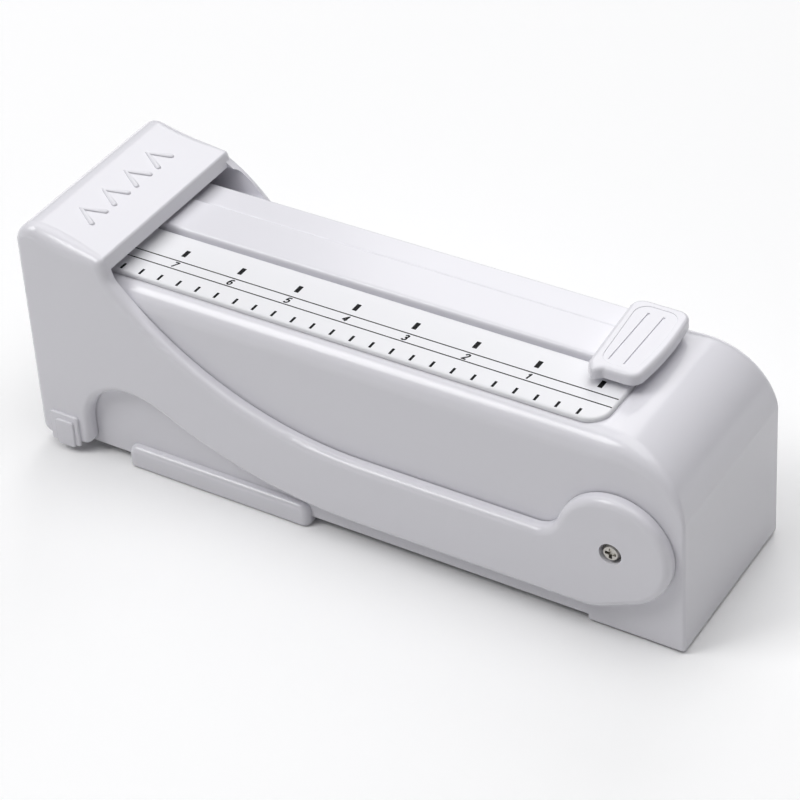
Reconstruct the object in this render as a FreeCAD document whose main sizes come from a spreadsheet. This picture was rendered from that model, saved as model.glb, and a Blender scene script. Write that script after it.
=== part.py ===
import FreeCAD, Part
import math
import os
import re

# Butter slicer: a hollow housing that a stick of butter lies in, a thumb slider
# that pushes the stick towards the mouth, and a press lever that swings on two
# screws at the rear and carries a blade down past the mouth.
#
# Frame: origin in the middle of the footprint on the table, +Z up, +X from the
# press end to the pivot end, -Y towards the side with the printed scale.

Vector = FreeCAD.Vector
doc = FreeCAD.newDocument("butter_slicer")
sizes = doc.addObject("Spreadsheet::Sheet", "Sizes")
places = doc.addObject("Spreadsheet::Sheet", "Places")

# Driving dimensions in millimetres, angles in degrees
driving = {
    # Housing
    "total_length": 167.1,
    "housing_width": 46.4,
    "housing_top": 50.9,
    "housing_floor": 2.3,
    "housing_wall": 2.0,
    "mouth_setback": 9.4,
    "rear_round": 18.0,
    "rear_lean": 0.7,
    "rear_crease": 8.0,
    "top_edge_round": 5.5,
    "bend_edge_round": 5.0,
    "rear_edge_round": 0.8,
    "heel_edge_round": 1.0,
    "edge_fade_length": 26.0,
    "inner_edge_round": 3.0,
    "rear_foot_length": 22.4,
    "foot_clearance": 0.5,
    # Lever pivots
    "pivot_inset": 15.6,
    "pivot_height": 24.3,
    "boss_radius": 13.7,
    "bush_radius": 2.2,
    "bush_fit": 0.04,
    "pivot_screw_radius": 1.25,
    "screw_fit": 0.05,
    "screw_tip_gap": 0.2,
    "recess_radius": 2.65,
    "recess_web": 1.45,
    "bush_stand": 0.05,
    "washer_thickness": 0.35,
    "washer_radius": 2.35,
    "pivot_head_radius": 2.1,
    "pivot_head_height": 0.9,
    "pivot_post_radius": 4.5,
    "pivot_post_depth": 2.4,
    # Press lever
    "lever_gap": 0.25,
    "lever_wall": 3.0,
    "leg_bottom": 2.4,
    "leg_length": 14.2,
    "arm_top_drop": 0.1,
    "arm_height": 17.0,
    "cap_length": 24.6,
    "cap_stand": 7.1,
    "cap_slope": 11.0,
    "cap_thickness": 3.0,
    "cap_front_round": 5.0,
    "cap_edge_round": 3.4,
    "lip_corner_round": 0.8,
    "lip_edge_round": 2.3,
    "lip_setback": 1.0,
    "lip_height": 3.05,
    "lip_foot_round": 5.0,
    "upper_sweep": 85.0,
    "far_sweep": 74.1,
    "shoulder_crest": 3.8,
    "shoulder_round": 40.0,
    "notch_round": 6.0,
    "heel_angle": 65.0,
    "heel_round": 10.0,
    "lower_sweep": 108.0,
    "lower_sweep_angle": 28.0,
    "arch_round": 20.0,
    "arch_front_round": 12.4,
    "toe_round": 2.8,
    "edge_round": 1.8,
    "skirt_thickness": 2.8,
    "window_drop": 0.9,
    "window_flange": 2.0,
    "room_round": 1.0,
    "hood_widening": 1.1,
    "hood_depth": 7.0,
    "hood_fade": 5.0,
    "hood_run": 9.0,
    "hood_corner_round": 1.4,
    # Blade and its clips
    "blade_thickness": 0.6,
    "blade_bottom": 3.0,
    "blade_gap": 2.2,
    "blade_hold": 1.9,
    "edge_bevel": 1.6,
    "edge_land": 0.09,
    "clip_setback": 3.9,
    "clip_length": 6.9,
    "clip_top": 9.8,
    "clip_fit": 0.1,
    "clip_cover": 0.7,
    "clip_rim": 0.6,
    "clip_plate": 0.7,
    "clip_plate_round": 0.42,
    "clip_plate_corner": 0.9,
    "clip_pad": 0.5,
    "clip_pad_round": 0.36,
    "clip_pad_corner": 0.8,
    "clip_pad_inset": 0.9,
    "clip_pad_shift": 0.3,
    "clip_pad_drop": 0.7,
    # Strips on top of the housing
    "strip_setback": 21.4,
    "strip_front_gap": 1.0,
    "strip_side_inset": 3.8,
    "strip_thickness": 1.1,
    "cover_thickness": 1.6,
    "strip_corner": 5.0,
    "strip_edge_round": 0.7,
    "cover_width": 7.9,
    "rail_width": 11.45,
    "rail_height": 2.5,
    "rail_edge_round": 0.9,
    "rail_far_round": 0.2,
    "seam": 0.4,
    # Thumb slider and pusher
    "slide_stop_gap": 2.9,
    "slot_width": 0.9,
    "slot_end_gap": 0.5,
    "web_thickness": 0.5,
    "web_length": 9.6,
    "web_inset": 4.2,
    "slider_inset": 18.3,
    "slider_length": 14.6,
    "slider_overhang": 6.45,
    "slider_side_inset": 4.4,
    "slider_thickness": 2.7,
    "slider_gap": 0.35,
    "slider_corner": 3.0,
    "slider_edge_round": 1.0,
    "slider_taper": 1.7,
    "slider_bulge": 1.1,
    "pointer_reach": 1.9,
    "pointer_width": 4.0,
    "pointer_softening": 0.2,
    "dish_inset": 2.0,
    "dish_depth": 0.14,
    "dish_rim_round": 0.12,
    "groove_count": 2,
    "groove_front": 5.4,
    "groove_pitch": 3.65,
    "groove_width": 0.6,
    "groove_depth": 0.3,
    "groove_near_inset": 1.2,
    "groove_far_inset": 2.2,
    "web_socket": 1.7,
    "shoe_thickness": 2.2,
    "shoe_near_inset": 9.2,
    "shoe_far_inset": 4.2,
    "shoe_lead": 1.0,
    "shoe_length": 16.0,
    "arm_thickness": 2.5,
    "arm_half_width": 8.0,
    "rib_thickness": 2.0,
    "pusher_thickness": 2.5,
    "pusher_gap": 0.5,
    "plate_screw_radius": 1.2,
    "plate_head_radius": 2.3,
    "plate_head_height": 1.2,
    "plate_screw_rise": 10.0,
    "plate_skin": 0.5,
    # Butter tray and base
    "tray_side_room": 2.7,
    "channel_room": 10.4,
    "tray_wall": 1.2,
    "tray_floor": 1.0,
    "tray_end_inset": 26.0,
    "tray_front_gap": 0.5,
    "fit_gap": 0.1,
    "base_thickness": 2.0,
    "rear_pad_height": 1.0,
    "rear_pad_length": 8.5,
    "rear_pad_width": 9.0,
    "base_post_size": 8.0,
    "base_post_height": 10.0,
    "base_post_inset": 6.2,
    "base_post_cover": 1.5,
    "base_screw_radius": 1.3,
    "base_head_radius": 2.4,
    "base_head_height": 1.0,
    # Front foot bar
    "foot_front_inset": 23.95,
    "foot_length": 49.45,
    "foot_lip": 2.0,
    "foot_lip_gap": 1.3,
    "foot_lip_round": 1.6,
    "foot_end_round": 2.2,
    "foot_pad_width": 4.0,
    "foot_pad_inset": 4.0,
    "foot_pad_recess": 0.6,
    "foot_screw_spacing": 30.0,
    "foot_pilot_cover": 0.2,
}

# Places that follow from the driving dimensions
derived = {
    "rear_x": "total_length / 2",
    "front_x": "-total_length / 2",
    "back_x": "rear_x - rear_lean",
    "mouth_x": "front_x + mouth_setback",
    "half": "housing_width / 2",
    "inner_half": "half - housing_wall",
    "ceiling": "housing_top - housing_wall",
    "pivot_x": "back_x - pivot_inset",
    "arm_top": "pivot_height - arm_top_drop",
    "arm_bottom": "arm_top - arm_height",
    "lever_in": "half + lever_gap",
    "lever_out": "lever_in + lever_wall",
    "lip_x": "front_x + cap_length",
    "cap_rear_top": "housing_top + cap_stand",
    "window_top": "housing_top - window_drop",
    "hood_half": "lever_in + hood_widening",
    "hood_top": "cap_rear_top - cap_thickness / cos(cap_slope * 1 deg)",
    "recess_floor": "lever_in + recess_web",
    "bush_end": "recess_floor + bush_stand",
    "blade_x": "mouth_x - blade_gap - blade_thickness",
    "blade_half": "lever_in + blade_hold",
    "blade_height": "clip_top - clip_cover - blade_bottom",
    "clip_front": "front_x + clip_setback",
    "clip_rear": "clip_front + clip_length",
    "strip_front": "mouth_x + strip_front_gap",
    "strip_rear": "back_x - strip_setback",
    "strip_half_width": "half - strip_side_inset",
    "cover_top": "housing_top + cover_thickness",
    "slot_far": "strip_half_width - cover_width",
    "rail_far": "slot_far - slot_width",
    "rail_near": "rail_far - rail_width",
    "rail_top": "housing_top + rail_height",
    "web_near": "rail_far + (slot_width - web_thickness) / 2",
    "web_far": "web_near + web_thickness",
    "slider_rear": "back_x - slider_inset",
    "slider_front": "slider_rear - slider_length",
    "slider_base": "rail_top + slider_gap",
    "slider_top": "slider_base + slider_thickness",
    "slider_near": "slider_overhang - rail_near",
    "slider_far": "half - slider_side_inset",
    "slide_travel": "slider_front - lip_x - slide_stop_gap",
    "dish_floor": "slider_top - dish_depth",
    "web_rear": "slider_rear - web_inset",
    "web_front": "web_rear - web_length",
    "shoe_top": "ceiling - slider_gap",
    "shoe_base": "shoe_top - shoe_thickness",
    "shoe_front": "slider_front - shoe_lead",
    "shoe_near": "inner_half - shoe_near_inset",
    "shoe_far": "inner_half - shoe_far_inset",
    "arm_front": "shoe_front + pusher_thickness",
    "arm_rear": "arm_front + arm_thickness",
    "base_top": "housing_floor + base_thickness",
    "channel_floor": "base_top + tray_floor",
    "channel_top": "ceiling - channel_room",
    "tray_half": "inner_half - tray_side_room",
    "channel_half": "tray_half - tray_wall",
    "pusher_half": "channel_half - pusher_gap",
    "base_rear": "back_x - housing_wall - fit_gap",
    "post_x": "back_x - housing_wall - base_post_size / 2",
    "base_post_offset": "inner_half - base_post_inset",
    "heel_front": "back_x - rear_foot_length + housing_wall",
    "rear_pad_front": "heel_front + housing_wall",
    "foot_front": "front_x + foot_front_inset",
    "foot_rear": "foot_front + foot_length",
    "foot_mid": "foot_front + foot_length / 2",
    "foot_lip_height": "arm_bottom - foot_lip_gap",
}


def ex(text):
    """Expression text with every named size pointed at its sheet."""

    def named(match):
        word = match.group(0)
        if word in driving:
            return "Sizes." + word
        if word in derived:
            return "Places." + word
        return word

    return re.sub(r"[a-z_]+", named, str(text))


for row, (alias, amount) in enumerate(driving.items(), start=1):
    sizes.set(f"A{row}", alias.replace("_", " "))
    sizes.set(f"B{row}", str(amount))
    sizes.setAlias(f"B{row}", alias)
doc.recompute()
for row, (alias, formula) in enumerate(derived.items(), start=1):
    places.set(f"A{row}", alias.replace("_", " "))
    places.setAlias(f"B{row}", alias)
    places.set(f"B{row}", "=" + ex(formula))
doc.recompute()


def num(alias):
    """The value of one named size or place, for outlines drawn in code."""
    sheet = sizes if alias in driving else places
    return float(sheet.get(alias))


# Building blocks

turn_to = {
    "x": FreeCAD.Rotation(Vector(0, 1, 0), 90),
    "y": FreeCAD.Rotation(Vector(1, 0, 0), -90),
    "z": FreeCAD.Rotation(),
}
# How far a cutting block runs past what it cuts, and a fused block into its neighbour
past = 1
bite = 0.5
nodes = []


def place(item, x, y, z):
    for axis, text in zip("xyz", (x, y, z)):
        item.setExpression("Placement.Base." + axis, ex(text))


def box(name, x, y, z):
    """Box between two corners; each side is a (low, high) pair."""
    item = doc.addObject("Part::Box", name)
    for side, (low, high) in zip(("Length", "Width", "Height"), (x, y, z)):
        item.setExpression(side, ex(f"({high}) - ({low})"))
    place(item, x[0], y[0], z[0])
    return item


def oriented(axis, along, others):
    """Values in X, Y, Z order, from the one along an axis and the two across it."""
    first, second = others
    return {"x": (along, first, second), "y": (first, along, second), "z": (first, second, along)}[axis]


def cylinder(name, axis, radius, span, centre):
    item = doc.addObject("Part::Cylinder", name)
    item.Placement = FreeCAD.Placement(Vector(), turn_to[axis])
    item.setExpression("Radius", ex(radius))
    item.setExpression("Height", ex(f"({span[1]}) - ({span[0]})"))
    place(item, *oriented(axis, span[0], centre))
    return item


def cone(name, axis, radii, span, centre):
    item = doc.addObject("Part::Cone", name)
    item.Placement = FreeCAD.Placement(Vector(), turn_to[axis])
    item.setExpression("Radius1", ex(radii[0]))
    item.setExpression("Radius2", ex(radii[1]))
    item.setExpression("Height", ex(f"({span[1]}) - ({span[0]})"))
    place(item, *oriented(axis, span[0], centre))
    return item


def join(name, *items):
    if len(items) == 1:
        return items[0]
    item = doc.addObject("Part::MultiFuse", name)
    item.Shapes = list(items)
    item.Refine = True
    return item


def cut(name, base, *tools):
    item = doc.addObject("Part::Cut", name)
    item.Base = base
    item.Tool = join(name + "_tools", *tools)
    return item


def group(name, *items):
    item = doc.addObject("Part::Compound", name)
    item.Links = list(items)
    return item


def rounded(name, base, radii):
    """Round the edges for which radii(edge) gives a radius or a pair of end radii."""
    doc.recompute()
    item = doc.addObject("Part::Fillet", name)
    item.Base = base
    picked = []
    for index, edge in enumerate(base.Shape.Edges, start=1):
        radius = radii(edge)
        if radius:
            ends = radius if isinstance(radius, tuple) else (radius, radius)
            picked.append((index, *ends))
    item.Edges = picked
    return item


def prism(name, edges, direction, length):
    """Solid drawn out from a closed outline."""
    outline = doc.addObject("Part::Feature", name + "_outline")
    outline.Shape = Part.Wire(edges)
    item = doc.addObject("Part::Extrusion", name)
    item.Base = outline
    item.DirMode = "Custom"
    item.Dir = direction
    item.Solid = True
    item.setExpression("LengthFwd", ex(length))
    return item


def node(item, label):
    item.Label = label
    nodes.append(item)


def near(first, second):
    return abs(first - second) < 1e-4


# Outline drawing: points are (u, v) pairs in the outline's own plane

def polar(centre, radius, degrees):
    angle = math.radians(degrees)
    return (centre[0] + radius * math.cos(angle), centre[1] + radius * math.sin(angle))


def bearing(start, end):
    return math.degrees(math.atan2(end[1] - start[1], end[0] - start[0]))


def line(to_space, start, end):
    return Part.makeLine(to_space(*start), to_space(*end))


def arc(to_space, centre, radius, first, last):
    turns = [first, (first + last) / 2, last]
    return Part.Arc(*[to_space(*polar(centre, radius, turn)) for turn in turns]).toShape()


def corner_bend(before, here, after, radius):
    """Ends of a rounded corner, with its arc's centre, first angle and turn."""
    into = bearing(before, here)
    out = bearing(here, after)
    turn = (out - into + 180) % 360 - 180
    reach = radius * math.tan(math.radians(abs(turn) / 2))
    start = polar(here, reach, into + 180)
    end = polar(here, reach, out)
    side = 90 if turn > 0 else -90
    return start, end, polar(start, radius, into + side), into - side, turn


def corner_path(to_space, corners):
    """Closed path through (u, v, radius) corners, each rounded by its radius."""
    count = len(corners)
    bends = [
        corner_bend(corners[index - 1], here, corners[(index + 1) % count], here[2])
        for index, here in enumerate(corners)
    ]
    edges = []
    for index, (start, end, centre, first, turn) in enumerate(bends):
        radius = corners[index][2]
        if radius > 0:
            edges.append(arc(to_space, centre, radius, first, first + turn))
        edges.append(line(to_space, end, bends[(index + 1) % count][0]))
    return edges


# Shape of a screw head, as shares of its height and radius
cross_floor = 0.25
cross_reach = 0.63
cross_half_width = 0.19
head_taper = 0.8


def screw(name, axis, out, seat, centre, head, shank):
    """Cross-head screw; out is +1 or -1, the way its head faces from its seat."""
    head_radius, head_height = head
    shank_radius, shank_length = shank
    top = f"{seat} + {out} * ({head_height})"
    tip = f"{seat} - {out} * ({shank_length})"
    floor = f"{seat} + {out} * ({head_height}) * {cross_floor}"
    spans = [(seat, top), (tip, seat), (floor, f"{top} + {out * past}")]
    radii = (head_radius, f"({head_radius}) * {head_taper}")
    if out < 0:
        spans = [(high, low) for low, high in spans]
        radii = radii[::-1]
    solid = join(
        name + "_solid",
        cone(name + "_head", axis, radii, spans[0], centre),
        cylinder(name + "_shank", axis, shank_radius, spans[1], centre),
    )
    reach = f"({head_radius}) * {cross_reach}"
    slim = f"({head_radius}) * {cross_half_width}"
    bars = []
    for number, (wide, tall) in enumerate(((reach, slim), (slim, reach))):
        first = (f"{centre[0]} - {wide}", f"{centre[0]} + {wide}")
        second = (f"{centre[1]} - {tall}", f"{centre[1]} + {tall}")
        bars.append(box(f"{name}_cross_{number}", *oriented(axis, spans[2], (first, second))))
    return cut(name, solid, *bars)


def side_plane(offset):
    return lambda u, v: Vector(u, offset, v)


def level_plane(height):
    return lambda u, v: Vector(u, v, height)


sides = (("left", -1), ("right", 1))


def across(sign, low, high):
    """Span along Y on one side, from the inner to the outer distance."""
    return (low, high) if sign > 0 else (f"-({high})", f"-({low})")


def drawn_radii(drawn_edges):
    """Radius rule for a prism, from outline edges given with their end radii."""

    def radii(edge):
        if edge.BoundBox.YLength > 1e-3:
            return None
        middle = edge.valueAt((edge.FirstParameter + edge.LastParameter) / 2)
        first = edge.valueAt(edge.FirstParameter)
        for drawn, start, end in drawn_edges:
            other = drawn.valueAt((drawn.FirstParameter + drawn.LastParameter) / 2)
            if math.hypot(other.x - middle.x, other.z - middle.z) > 1e-3:
                continue
            head = drawn.valueAt(drawn.FirstParameter)
            same_way = math.hypot(head.x - first.x, head.z - first.z) < 1e-3
            ends = (start, end) if same_way else (end, start)
            return ends if start else None
        return None

    return radii


# Housing: hollow shell with a rounded rear top, open at the mouth and underneath


def housing_outline(offset):
    """Side view of the shell with the rounding of its two side edges."""
    back, top, bend = num("back_x"), num("housing_top"), num("rear_round")
    low, foot_low = num("housing_floor"), num("foot_clearance")
    foot = back - num("rear_foot_length")
    front = num("mouth_x")
    fade = back - bend - num("edge_fade_length")
    broad, softer, fine = num("top_edge_round"), num("bend_edge_round"), num("rear_edge_round")
    plane = side_plane(offset)
    centre = (back - bend, top - bend)
    crease = num("rear_crease")
    crease_end = polar(centre, bend, crease)
    heel = (num("rear_x"), foot_low)
    heel_round = num("heel_edge_round")
    heel_bend = corner_bend(crease_end, heel, (foot, foot_low), heel_round)
    heel_start, heel_end, heel_centre, first, turn = heel_bend
    return [
        (line(plane, heel_end, (foot, foot_low)), 0, 0),
        (line(plane, (foot, foot_low), (foot, low)), 0, 0),
        (line(plane, (foot, low), (front, low)), 0, 0),
        (line(plane, (front, low), (front, top)), 0, 0),
        (line(plane, (front, top), (fade, top)), broad, broad),
        (line(plane, (fade, top), (back - bend, top)), broad, softer),
        (arc(plane, centre, bend, 90, crease), softer, fine),
        (line(plane, crease_end, heel_start), fine, fine),
        (arc(plane, heel_centre, heel_round, first, first + turn), fine, fine),
    ]


def hollow_outline(offset, front, low):
    """Side view of the room inside the shell, with its own edge rounding."""
    wall = num("housing_wall")
    back, top, bend = num("back_x") - wall, num("housing_top") - wall, num("rear_round") - wall
    inner = num("inner_edge_round")
    plane = side_plane(offset)
    return [
        (line(plane, (back, low), (front, low)), 0, 0),
        (line(plane, (front, low), (front, top)), 0, 0),
        (line(plane, (front, top), (back - bend, top)), inner, inner),
        (arc(plane, (back - bend, top - bend), bend, 90, 0), inner, inner),
        (line(plane, (back, top - bend), (back, low)), inner, inner),
    ]


def bare(drawn_edges):
    return [edge for edge, start, end in drawn_edges]


shell_edges = housing_outline(-num("half"))
block = prism("housing_block", bare(shell_edges), Vector(0, 1, 0), "housing_width")
shell = rounded("housing_rounded", block, drawn_radii(shell_edges))
hollow_edges = hollow_outline(-num("inner_half"), num("mouth_x") - past, num("foot_clearance") - past)
hollow_block = prism("housing_hollow_block", bare(hollow_edges), Vector(0, 1, 0), "inner_half * 2")
hollow = rounded("housing_hollow", hollow_block, drawn_radii(hollow_edges))
post_pilot_end = "base_top + base_post_height - base_post_cover"
posts = []
holes = [
    box(
        "slider_slot",
        ("web_front - slide_travel - slot_end_gap", "web_rear + slot_end_gap"),
        ("rail_far", "slot_far"),
        (f"ceiling - {past}", f"housing_top + {past}"),
    )
]
for side, sign in sides:
    posts.append(
        cylinder(
            f"pivot_post_{side}",
            "y",
            "pivot_post_radius",
            across(sign, "inner_half - pivot_post_depth", "inner_half + housing_wall / 2"),
            ("pivot_x", "pivot_height"),
        )
    )
    holes.append(
        cylinder(
            f"pivot_pilot_{side}",
            "y",
            "pivot_screw_radius + screw_fit",
            across(sign, f"inner_half - pivot_post_depth - {past}", f"half + {past}"),
            ("pivot_x", "pivot_height"),
        )
    )
    posts.append(
        box(
            f"base_post_{side}",
            ("post_x - base_post_size / 2", "back_x - housing_wall / 2"),
            across(sign, "base_post_offset - base_post_size / 2", "base_post_offset + base_post_size / 2"),
            ("base_top", "base_top + base_post_height"),
        )
    )
    holes.append(
        cylinder(
            f"base_pilot_{side}",
            "z",
            "base_screw_radius + screw_fit",
            (f"base_top - {past}", post_pilot_end),
            ("post_x", f"{sign} * base_post_offset"),
        )
    )
shell_open = cut("housing_open", shell, hollow)
node(cut("housing_shape", join("housing_posts", shell_open, *posts), *holes), "housing")

# Strips on the top: printed scale plate, raised slide rail and track cover


def strip(name, near_edge, far_edge, thickness, corners, edge_round, far_round):
    """Flat strip along the top with its own corner rounding at the rear end."""
    plane = level_plane(num("housing_top"))
    front, rear = num("strip_front"), num("strip_rear")
    path = [
        (front, near_edge, 0),
        (rear, near_edge, corners[0]),
        (rear, far_edge, corners[1]),
        (front, far_edge, 0),
    ]
    slab = prism(name + "_slab", corner_path(plane, path), Vector(0, 0, 1), thickness)
    doc.recompute()
    top = slab.Shape.BoundBox.ZMax

    def top_edges(edge):
        box_of = edge.BoundBox
        if not near(box_of.ZMin, top) or box_of.XMax < front + 1e-3:
            return None
        return num(far_round if near(box_of.YMin, far_edge) else edge_round)

    return rounded(name + "_shape", slab, top_edges)


corner = num("strip_corner")
node(
    strip(
        "scale_plate",
        -num("strip_half_width"),
        num("rail_near") - num("seam"),
        "strip_thickness",
        (corner, 0),
        "strip_edge_round",
        "strip_edge_round",
    ),
    "scale_plate",
)
node(
    strip(
        "slide_rail",
        num("rail_near"),
        num("rail_far"),
        "rail_height",
        (0, 0),
        "rail_edge_round",
        "rail_far_round",
    ),
    "slide_rail",
)
node(
    strip(
        "track_cover",
        num("slot_far"),
        num("strip_half_width"),
        "cover_thickness",
        (0, corner),
        "strip_edge_round",
        "strip_edge_round",
    ),
    "track_cover",
)

# Press lever: the side view is one outline, drawn across the full width, and the
# room for the housing is cut out between the two sides


def upper_sweep_centres():
    """Centres of the small bend under the lip and of the long sweep below it."""
    bend, sweep = num("lip_foot_round"), num("upper_sweep")
    lip_foot = (num("lip_x") + bend, num("cap_rear_top") - num("lip_height"))
    drop = num("arm_top") + sweep - lip_foot[1]
    run = math.sqrt((sweep - bend) ** 2 - drop**2)
    return lip_foot, (lip_foot[0] + run, num("arm_top") + sweep)


def shoulder_outline(offset):
    """The far leg's fuller upper edge: a broad bend and a tighter sweep to the same place."""
    plane = side_plane(offset)
    sweep, bend = num("far_sweep"), num("shoulder_round")
    base = num("arm_top")
    end, start = upper_sweep_centres()[1][0], num("lip_x") - num("lip_edge_round")
    centre = (end, base + sweep)
    bend_height = num("cap_rear_top") + num("shoulder_crest") - bend
    run = math.sqrt((sweep + bend) ** 2 - (centre[1] - bend_height) ** 2)
    bend_centre = (end - run, bend_height)
    first = math.degrees(math.acos((start - bend_centre[0]) / bend))
    top = polar(bend_centre, bend, first)[1]
    turn = bearing(centre, bend_centre)
    # The closing lines lie inside the leg, well under its upper edge
    inner = base - num("edge_round") * 2
    inner_rise = (top - inner) / 3
    inside = [(end, base), (end, inner), (start, inner + inner_rise), (start, top)]
    slim = num("edge_round")
    closing = [(line(plane, start_at, end_at), 0, 0) for start_at, end_at in zip(inside, inside[1:])]
    return [
        (arc(plane, bend_centre, bend, first, turn + 180), slim, slim),
        (arc(plane, centre, sweep, turn, -90), slim, slim),
        *closing,
    ]


def lever_outline(offset):
    """Outline edges of the lever's side view and the radius at each edge's ends."""
    plane = side_plane(offset)
    front, foot, lip = num("front_x"), num("leg_bottom"), num("lip_x")
    slope = num("cap_slope")
    fall = math.tan(math.radians(slope))
    lean = math.cos(math.radians(slope))
    pivot = (num("pivot_x"), num("pivot_height"))
    boss = num("boss_radius")

    def cap_line(x):
        return num("cap_rear_top") + (lip - x) * fall

    def under_cap(x, radius):
        return (x, cap_line(x) - radius / lean)

    # Cap: front corner, sloped top and the sharp corner above the lip
    nose_round = num("cap_front_round")
    nose = under_cap(front + nose_round, nose_round)
    lip_corner = (lip - num("lip_setback"), cap_line(lip - num("lip_setback")))
    # Rear edge of the leg: the lip runs into a long sweep down to the arm
    sweep = num("upper_sweep")
    hollow_round = num("lip_foot_round")
    lip_foot, sweep_centre = upper_sweep_centres()
    sweep_turn = bearing(sweep_centre, lip_foot)
    # The lip leans back from its upper corner until it touches the bend under it
    reach = math.dist(lip_corner, lip_foot)
    lip_turn = bearing(lip_corner, lip_foot) + math.degrees(math.acos(hollow_round / reach)) + 180
    lip_end = polar(lip_foot, hollow_round, lip_turn)
    # Notch in front of the boss, then round the boss and down to the heel
    notch = num("notch_round")
    rise = num("arm_top") + notch - pivot[1]
    notch_centre = (pivot[0] - math.sqrt((boss + notch) ** 2 - rise**2), num("arm_top") + notch)
    boss_turn = bearing(pivot, notch_centre)
    heel_turn = -num("heel_angle")
    heel_start = polar(pivot, boss, heel_turn)
    heel = num("heel_round")
    heel_way = heel_turn - 90
    heel_run = (heel_start[1] - num("arm_bottom")) / -math.sin(math.radians(heel_way))
    heel_corner = polar(heel_start, heel_run, heel_way)
    heel_reach = heel * math.tan(math.radians((90 + heel_turn) / 2))
    heel_from = polar(heel_corner, heel_reach, heel_way + 180)
    heel_centre = (heel_corner[0] - heel_reach, num("arm_bottom") + heel)
    # Arch behind the leg, reached by a long reversed sweep
    lower, angle = num("lower_sweep"), num("lower_sweep_angle")
    arch, arch_front = num("arch_round"), num("arch_front_round")
    leg_rear = front + num("leg_length")
    lower_centre = (
        leg_rear + arch_front + (lower + arch) * math.sin(math.radians(angle)),
        num("arm_bottom") + lower,
    )
    arch_centre = polar(lower_centre, lower + arch, -90 - angle)
    arch_top = arch_centre[1] + arch
    arch_front_centre = (arch_centre[0], arch_top - arch_front)
    toe = num("toe_round")
    toe_front = (front + toe, foot + toe)
    toe_rear = (leg_rear - toe, foot + toe)

    # Edges in order; the cap's side edges are rounded more than the rest
    slim, cap, lip_edge = num("edge_round"), num("cap_edge_round"), num("lip_edge_round")
    cap_top = line(plane, polar(nose, nose_round, 90 - slope), lip_corner)
    pieces = [
        (arc(plane, toe_front, toe, 270, 180), slim, slim),
        (line(plane, (front, toe_front[1]), (front, nose[1])), slim, slim),
        (arc(plane, nose, nose_round, 180, 90 - slope), slim, cap),
        (cap_top, cap, lip_edge),
        (line(plane, lip_corner, lip_end), lip_edge, lip_edge),
        (arc(plane, lip_foot, hollow_round, lip_turn, sweep_turn + 360), lip_edge, slim),
    ]
    plain = [
        arc(plane, sweep_centre, sweep, sweep_turn, -90),
        line(plane, (sweep_centre[0], num("arm_top")), (notch_centre[0], num("arm_top"))),
        arc(plane, notch_centre, notch, -90, boss_turn - 180),
        arc(plane, pivot, boss, boss_turn, heel_turn),
        line(plane, heel_start, heel_from),
        arc(plane, heel_centre, heel, heel_turn, -90),
        line(plane, (heel_centre[0], num("arm_bottom")), (lower_centre[0], num("arm_bottom"))),
        arc(plane, lower_centre, lower, -90, -90 - angle),
        arc(plane, arch_centre, arch, 90 - angle, 90),
        arc(plane, arch_front_centre, arch_front, 90, 180),
        line(plane, (leg_rear, arch_front_centre[1]), (leg_rear, toe_rear[1])),
        arc(plane, toe_rear, toe, 0, -90),
        line(plane, (toe_rear[0], foot), (toe_front[0], foot)),
    ]
    return pieces + [(piece, slim, slim) for piece in plain]


lever_edges = lever_outline(-num("lever_out"))
lever_block = prism("lever_block", bare(lever_edges), Vector(0, 1, 0), "lever_out * 2")
lever_rule = drawn_radii(lever_edges)


def lever_radii(edge):
    """Radii of the drawn edges, and of the edge between the cap's top and the lip."""
    box_of = edge.BoundBox
    on_lip = near(box_of.XMin, box_of.XMax) and near(box_of.XMin, num("lip_x") - num("lip_setback"))
    if on_lip and box_of.YLength > num("housing_width"):
        return num("lip_corner_round")
    return lever_rule(edge)


lever_rounded = rounded("lever_rounded", lever_block, lever_radii)


def lever_room():
    """Side view of the space between the lever's two sides, under its cap."""
    fall = math.tan(math.radians(num("cap_slope")))
    lean = math.cos(math.radians(num("cap_slope")))
    inside = num("front_x") + num("skirt_thickness")
    lip = num("lip_x")
    under = num("cap_rear_top") - num("cap_thickness") / lean
    far = num("rear_x") + past
    low = min(num("leg_bottom"), num("arm_bottom")) - past
    path = [
        (inside, low, 0),
        (inside, under + (lip - inside) * fall, num("room_round")),
        (lip, under, 0),
        (far, under, 0),
        (far, low, 0),
    ]
    return corner_path(side_plane(-num("lever_in")), path)


def hood_path():
    """Front view of the wider room inside the far leg, beside the housing's top."""
    low, top = num("housing_top") - num("hood_depth"), num("hood_top")
    inner, outer = num("lever_in"), num("hood_half")
    return [
        (0, low, 0),
        (inner, low, 0),
        (outer, low + num("hood_fade"), 0),
        (outer, top, num("hood_corner_round")),
        (0, top, 0),
    ]


def front_plane(offset):
    return lambda u, v: Vector(offset, u, v)


hood_edges = corner_path(front_plane(num("lip_x") - num("hood_run")), hood_path())
lever_cuts = [
    prism("lever_room", lever_room(), Vector(0, 1, 0), "lever_in * 2"),
    prism("lever_hood", hood_edges, Vector(1, 0, 0), "hood_run - lip_x"),
    box(
        "lever_window",
        (f"front_x - {past}", f"front_x + skirt_thickness + {past}"),
        ("window_flange - lever_in", "lever_in - window_flange"),
        (f"leg_bottom - {past}", "window_top"),
    ),
]
shoulder_edges = shoulder_outline(num("lever_in"))
shoulder_block = prism("shoulder_block", bare(shoulder_edges), Vector(0, 1, 0), "lever_wall")
shoulder_rule = drawn_radii(shoulder_edges)


def shoulder_radii(edge):
    return shoulder_rule(edge) if near(edge.CenterOfMass.y, num("lever_out")) else None


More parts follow.
